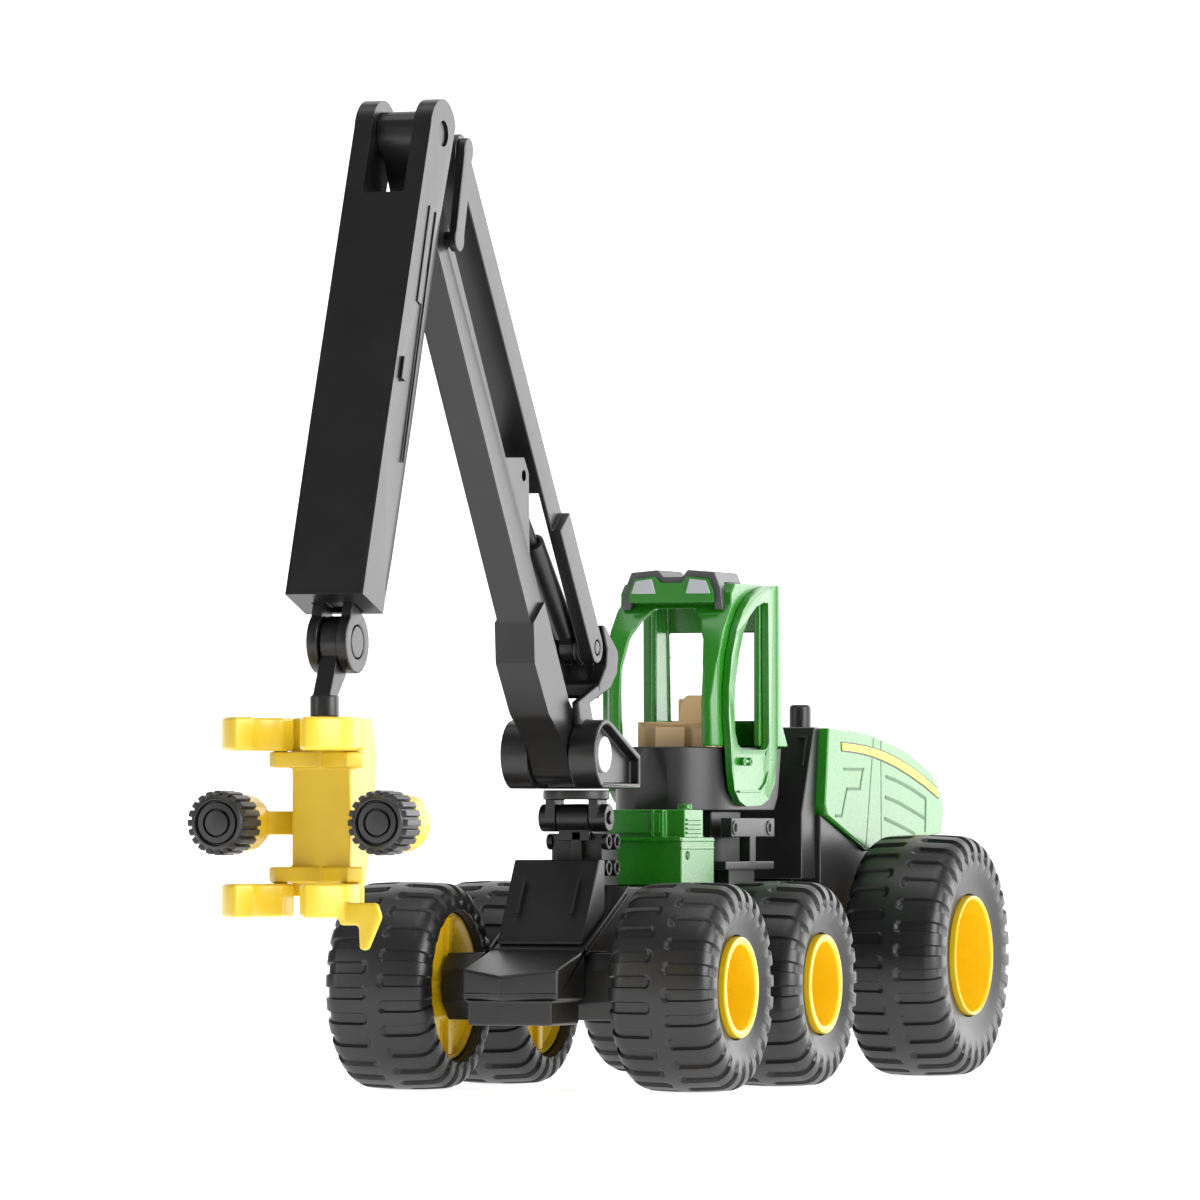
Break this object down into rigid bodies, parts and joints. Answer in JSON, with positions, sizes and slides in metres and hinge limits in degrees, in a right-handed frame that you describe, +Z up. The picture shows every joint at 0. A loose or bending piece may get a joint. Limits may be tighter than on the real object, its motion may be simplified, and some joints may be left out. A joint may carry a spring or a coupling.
{
  "type": "toy forestry harvester",
  "caption": "Toy forestry harvester: articulated wheeled carrier with an open cab, a tilting and slewing crane, a telescopic stick and a log-gripping head with feed rollers",
  "frame": {"origin": "on the floor, below the middle of the machine's length, on its centreline", "axes": "+X is forward, where the crane reaches; +Y is the driver's left; +Z is up"},
  "size_m": [0.6875, 0.166, 0.3887],
  "materials": {
    "green": "moulded plastic, satin",
    "black": "moulded plastic, satin black",
    "grey": "moulded plastic, dark grey",
    "yellow": "moulded plastic, golden yellow",
    "tyre": "soft black tyre",
    "beige": "moulded plastic, beige",
    "silver": "plated or pale plastic"
  },
  "bodies": {
    "chassis": {"front_frame": "black", "front_bumper": "black", "crane_foot_cover": "black", "front_axle": "black", "middle_axle": "black", "front_box": "green", "left_step": "black", "right_step": "black", "crane_pedestal": "black", "cab_tub": "black", "cab_shell": "green", "visor": "grey", "cab_interior": "beige"},
    "rear_body": {"rear_frame": "black", "rear_bulkhead": "black", "hood": "green", "engine_block": "grey", "exhaust_stack": "black", "tail_panel": "grey", "rear_axle": "black"},
    "front_left_wheel": {"front_left_tyre": "tyre", "front_left_rim": "yellow"},
    "front_right_wheel": {"front_right_tyre": "tyre", "front_right_rim": "yellow"},
    "middle_left_wheel": {"middle_left_tyre": "tyre", "middle_left_rim": "yellow"},
    "middle_right_wheel": {"middle_right_tyre": "tyre", "middle_right_rim": "yellow"},
    "rear_left_wheel": {"rear_left_tyre": "tyre", "rear_left_rim": "yellow"},
    "rear_right_wheel": {"rear_right_tyre": "tyre", "rear_right_rim": "yellow"},
    "left_door": {"left_door": "green"},
    "right_door": {"right_door": "green"},
    "tilt_base": {"crane_tilt_fork": "black"},
    "slew_body": {"crane_head": "black", "boom_pin": "silver"},
    "boom": {"main_boom": "black"},
    "bar": {"parallel_bar": "black"},
    "link": {"boom_link": "black"},
    "lift_tube": {"lift_cylinder": "black"},
    "lift_rod": {"lift_rod": "silver"},
    "stick": {"stick": "black", "stick_pin": "silver"},
    "extension": {"stick_extension": "black"},
    "hanger": {"hanger": "black"},
    "head": {"head_frame": "black"},
    "left_claws": {"upper_left_claw": "yellow", "lower_left_claw": "yellow"},
    "left_roller_arm": {"left_roller_arm": "black"},
    "left_roller": {"left_feed_roller": "grey"},
    "right_claws": {"upper_right_claw": "yellow", "lower_right_claw": "yellow"},
    "right_roller_arm": {"right_roller_arm": "black"},
    "right_roller": {"right_feed_roller": "grey"}
  },
  "joints": [
    {"name": "articulation", "type": "hinge", "parent": "chassis", "child": "rear_body", "pos_m": [-0.1512, 0, 0.065], "axis": [0, 0, 1], "range_deg": [-25, 25]},
    {"name": "front_left_wheel_spin", "type": "hinge", "parent": "chassis", "child": "front_left_wheel", "pos_m": [0.04945, 0.06, 0.042], "axis": [0, 1, 0], "continuous": true},
    {"name": "front_right_wheel_spin", "type": "hinge", "parent": "chassis", "child": "front_right_wheel", "pos_m": [0.04945, -0.06, 0.042], "axis": [0, 1, 0], "continuous": true},
    {"name": "middle_left_wheel_spin", "type": "hinge", "parent": "chassis", "child": "middle_left_wheel", "pos_m": [-0.05185, 0.06, 0.042], "axis": [0, 1, 0], "continuous": true},
    {"name": "middle_right_wheel_spin", "type": "hinge", "parent": "chassis", "child": "middle_right_wheel", "pos_m": [-0.05185, -0.06, 0.042], "axis": [0, 1, 0], "continuous": true},
    {"name": "rear_left_wheel_spin", "type": "hinge", "parent": "rear_body", "child": "rear_left_wheel", "pos_m": [-0.2419, 0.06, 0.0515], "axis": [0, 1, 0], "continuous": true},
    {"name": "rear_right_wheel_spin", "type": "hinge", "parent": "rear_body", "child": "rear_right_wheel", "pos_m": [-0.2419, -0.06, 0.0515], "axis": [0, 1, 0], "continuous": true},
    {"name": "left_door_hinge", "type": "hinge", "parent": "chassis", "child": "left_door", "pos_m": [-0.1442, 0.0286, 0.16], "axis": [0, 0, 1], "range_deg": [0, 70]},
    {"name": "right_door_hinge", "type": "hinge", "parent": "chassis", "child": "right_door", "pos_m": [-0.1442, -0.0286, 0.16], "axis": [0, 0, -1], "range_deg": [0, 70]},
    {"name": "crane_tilt", "type": "hinge", "parent": "chassis", "child": "tilt_base", "pos_m": [0.0199, 0, 0.1099], "axis": [0, -1, 0], "range_deg": [-5, 8]},
    {"name": "crane_slew", "type": "hinge", "parent": "tilt_base", "child": "slew_body", "pos_m": [0.0199, 0, 0.1214], "axis": [0, 0, 1], "range_deg": [-110, 110]},
    {"name": "boom_lift", "type": "hinge", "parent": "slew_body", "child": "boom", "pos_m": [0.0386, 0, 0.1354], "axis": [0, -1, 0], "range_deg": [-12, 8]},
    {"name": "bar_pivot", "type": "hinge", "parent": "slew_body", "child": "bar", "pos_m": [0.0271, 0, 0.1787], "axis": [0, -1, 0], "range_deg": [-12, 8]},
    {"name": "link_pivot", "type": "hinge", "parent": "boom", "child": "link", "pos_m": [0.17895, 0, 0.33585], "axis": [0, -1, 0], "range_deg": [-8, 12]},
    {"name": "lift_cylinder_pivot", "type": "hinge", "parent": "slew_body", "child": "lift_tube", "pos_m": [0.0271, 0, 0.1787], "axis": [0, -1, 0], "range_deg": [-15, 10]},
    {"name": "lift_rod_slide", "type": "slide", "parent": "lift_tube", "child": "lift_rod", "axis": [0.7193, 0, 0.6947], "range_m": [-0.006, 0.009]},
    {"name": "stick_swing", "type": "hinge", "parent": "boom", "child": "stick", "pos_m": [0.20654, 0, 0.37525], "axis": [0, -1, 0], "range_deg": [-12, 50]},
    {"name": "stick_slide", "type": "slide", "parent": "stick", "child": "extension", "axis": [0.3289, 0, -0.9444], "range_m": [0, 0.06]},
    {"name": "hanger_swing", "type": "hinge", "parent": "extension", "child": "hanger", "pos_m": [0.27574, 0, 0.17655], "axis": [0, -1, 0], "range_deg": [-20, 20]},
    {"name": "head_rotator", "type": "hinge", "parent": "hanger", "child": "head", "pos_m": [0.2888, 0, 0.148], "axis": [0, 0, 1], "range_deg": [-90, 90]},
    {"name": "left_claws_pivot", "type": "hinge", "parent": "head", "child": "left_claws", "pos_m": [0.2973, 0.0145, 0.1076], "axis": [0, 0, 1], "range_deg": [0, 50]},
    {"name": "left_roller_arm_pivot", "type": "hinge", "parent": "head", "child": "left_roller_arm", "pos_m": [0.2798, 0.0168, 0.1076], "axis": [0, 0, 1], "range_deg": [0, 30]},
    {"name": "left_roller_spin", "type": "hinge", "parent": "left_roller_arm", "child": "left_roller", "pos_m": [0.3094, 0.0328, 0.1076], "axis": [1, 0, 0], "continuous": true},
    {"name": "right_claws_pivot", "type": "hinge", "parent": "head", "child": "right_claws", "pos_m": [0.2973, -0.0145, 0.1076], "axis": [0, 0, -1], "range_deg": [0, 50]},
    {"name": "right_roller_arm_pivot", "type": "hinge", "parent": "head", "child": "right_roller_arm", "pos_m": [0.2798, -0.0168, 0.1076], "axis": [0, 0, -1], "range_deg": [0, 30]},
    {"name": "right_roller_spin", "type": "hinge", "parent": "right_roller_arm", "child": "right_roller", "pos_m": [0.3094, -0.0328, 0.1076], "axis": [1, 0, 0], "continuous": true}
  ],
  "couplings": [
    {"joint": "bar_pivot", "follows": "boom_lift", "ratio": 1},
    {"joint": "link_pivot", "follows": "boom_lift", "ratio": -1},
    {"joint": "lift_cylinder_pivot", "follows": "boom_lift", "ratio": 1.226},
    {"joint": "lift_rod_slide", "follows": "boom_lift", "m_per_rad": -0.0392},
    {"joint": "right_claws_pivot", "follows": "left_claws_pivot", "ratio": 1},
    {"joint": "right_roller_arm_pivot", "follows": "left_roller_arm_pivot", "ratio": 1}
  ]
}
